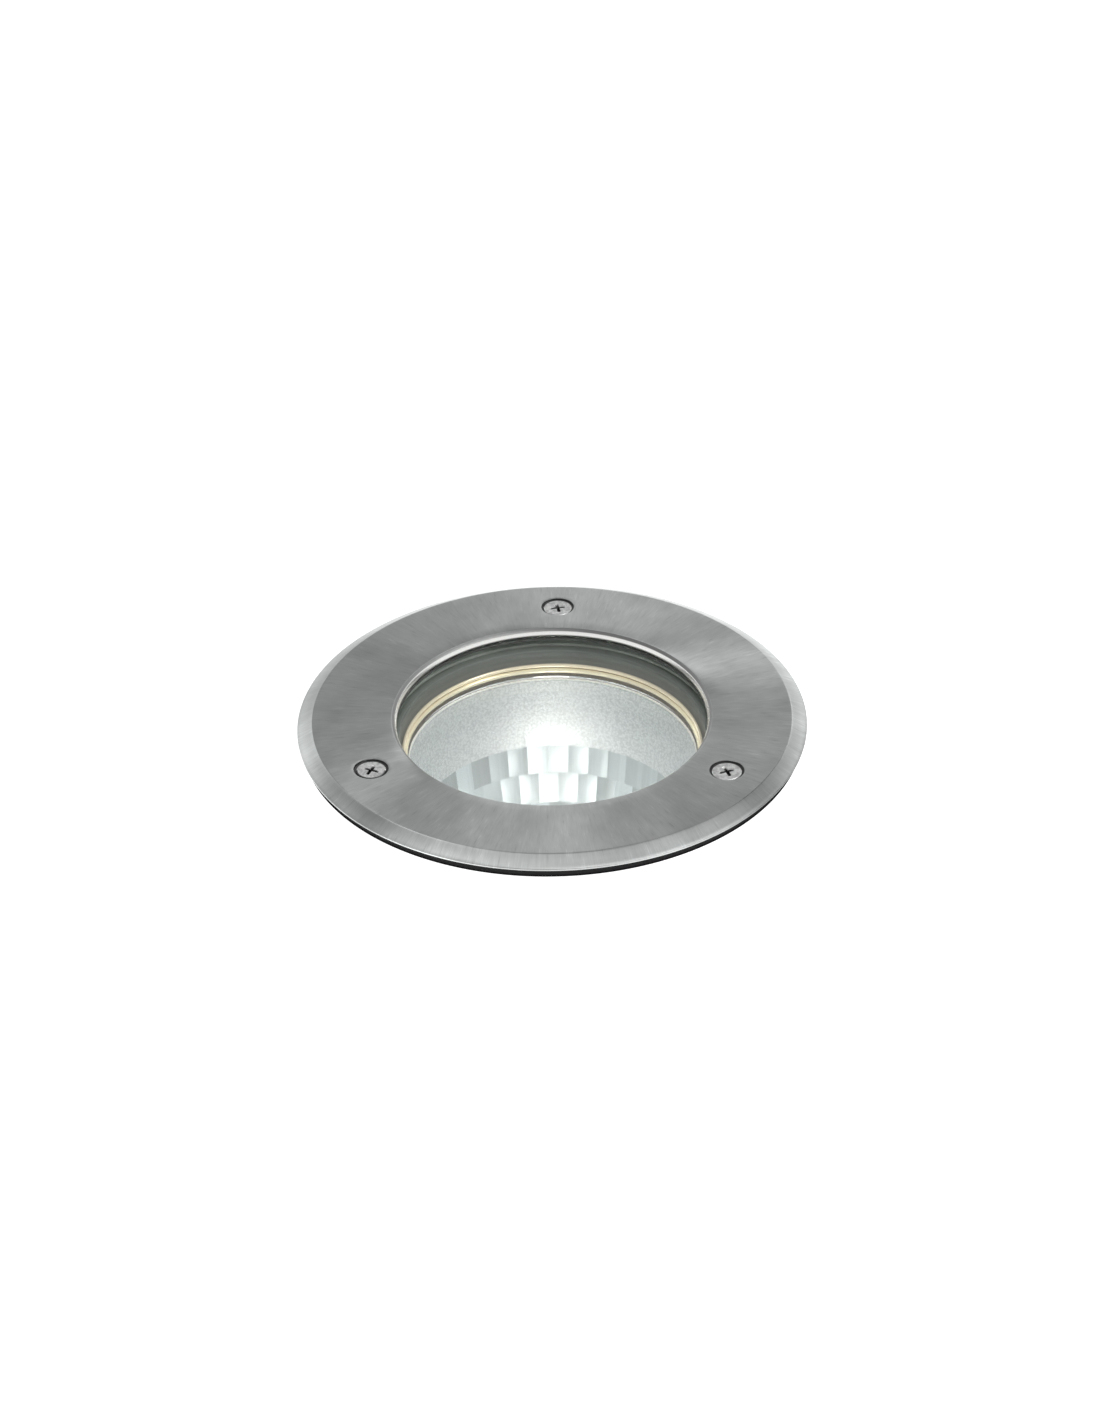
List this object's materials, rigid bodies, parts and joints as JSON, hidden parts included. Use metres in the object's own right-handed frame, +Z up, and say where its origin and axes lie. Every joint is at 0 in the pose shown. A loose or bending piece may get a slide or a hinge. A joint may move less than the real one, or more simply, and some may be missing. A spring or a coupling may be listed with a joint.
{
  "type": "in-ground light",
  "caption": "Round in-ground light: bevelled brushed steel ring, countersunk screws, clear glass over a faceted reflector lamp, ribbed can in a ground sleeve.",
  "frame": {"origin": "on the light's axis at ground level, where the underside of the black rim lies on the ground", "axes": "+Z up along the light's axis, out of the ground; +Y towards one of the three screws; the cable gland is at +X"},
  "size_m": [0.16, 0.16, 0.1818],
  "materials": {
    "brushed_bezel_steel": "finely brushed stainless steel with a polished lip",
    "screw_steel": "bright stainless steel",
    "clear_glass": "toughened clear glass, polished",
    "black_rubber": "matt black sealing rubber",
    "grey_ring_plastic": "satin grey heat-resistant plastic",
    "black_sleeve_plastic": "moulded black plastic, fine grained",
    "cast_housing_paint": "powder-coated die casting, graphite grey",
    "reflector_silver": "aluminised glass, stippled above and faceted below",
    "gold_rim_metal": "pale gold anodised ring with two beads",
    "lens_glass": "clear lamp lens",
    "burner_glow": "lit quartz capsule",
    "lead_wire": "bright wire",
    "white_ceramic": "glazed ceramic, off-white",
    "cap_metal": "rolled cap metal, satin",
    "cap_black_glass": "black glass insulator",
    "contact_brass": "plain brass",
    "zinc_steel": "zinc-plated steel",
    "gland_plastic": "black nylon, satin"
  },
  "bodies": {
    "sleeve": {"mounting_sleeve": "black_sleeve_plastic"},
    "housing": {"housing": "cast_housing_paint", "housing_fins": "cast_housing_paint", "support_ring": "grey_ring_plastic", "holder_body": "white_ceramic", "holder_shell": "contact_brass", "holder_bracket": "zinc_steel", "bracket_screws": "zinc_steel", "earth_washer": "contact_brass", "earth_screw": "zinc_steel", "terminal_block": "white_ceramic", "terminal_screws": "zinc_steel", "gland_body": "gland_plastic", "gland_o_ring": "black_rubber", "gland_nut": "gland_plastic", "gland_seal": "black_rubber", "blanking_plug": "gland_plastic", "plug_o_ring": "black_rubber"},
    "glass": {"glass": "clear_glass", "glass_gasket": "black_rubber"},
    "bezel": {"bezel": "brushed_bezel_steel", "captive_washers": "black_rubber"},
    "screw_1": {"bezel_screw_1": "screw_steel"},
    "screw_2": {"bezel_screw_2": "screw_steel"},
    "screw_3": {"bezel_screw_3": "screw_steel"},
    "contact": {"centre_contact": "contact_brass"},
    "lamp": {"lamp_bowl": "reflector_silver", "lamp_rim": "gold_rim_metal", "lamp_lens": "lens_glass", "lamp_burner": "burner_glow", "burner_leads": "lead_wire", "burner_base": "white_ceramic", "lamp_cap_collar": "cap_metal", "lamp_cap": "cap_metal", "lamp_cap_insulator": "cap_black_glass", "lamp_cap_tip": "contact_brass"}
  },
  "joints": [
    {"name": "housing_lift", "type": "slide", "parent": "sleeve", "child": "housing", "axis": [0, 0, 1], "range_m": [0, 0.16]},
    {"name": "glass_lift", "type": "slide", "parent": "housing", "child": "glass", "axis": [0, 0, 1], "range_m": [0, 0.05]},
    {"name": "bezel_lift", "type": "slide", "parent": "glass", "child": "bezel", "axis": [0, 0, 1], "range_m": [0, 0.04]},
    {"name": "screw_turn_1", "type": "hinge", "parent": "bezel", "child": "screw_1", "pos_m": [0, 0.0629, 0.003], "axis": [0, 0, 1], "continuous": true},
    {"name": "screw_turn_2", "type": "hinge", "parent": "bezel", "child": "screw_2", "pos_m": [-0.05447, -0.03145, 0.003], "axis": [0, 0, 1], "continuous": true},
    {"name": "screw_turn_3", "type": "hinge", "parent": "bezel", "child": "screw_3", "pos_m": [0.05447, -0.03145, 0.003], "axis": [0, 0, 1], "continuous": true},
    {"name": "contact_rise", "type": "slide", "parent": "housing", "child": "contact", "axis": [0, 0, 1], "range_m": [0, 0.0036]},
    {"name": "lamp_turn", "type": "hinge", "parent": "contact", "child": "lamp", "pos_m": [0, 0, -0.1], "axis": [0, 0, 1], "range_deg": [0, 360]}
  ],
  "couplings": [
    {"joint": "contact_rise", "follows": "lamp_turn", "m_per_rad": 0.00057295}
  ]
}
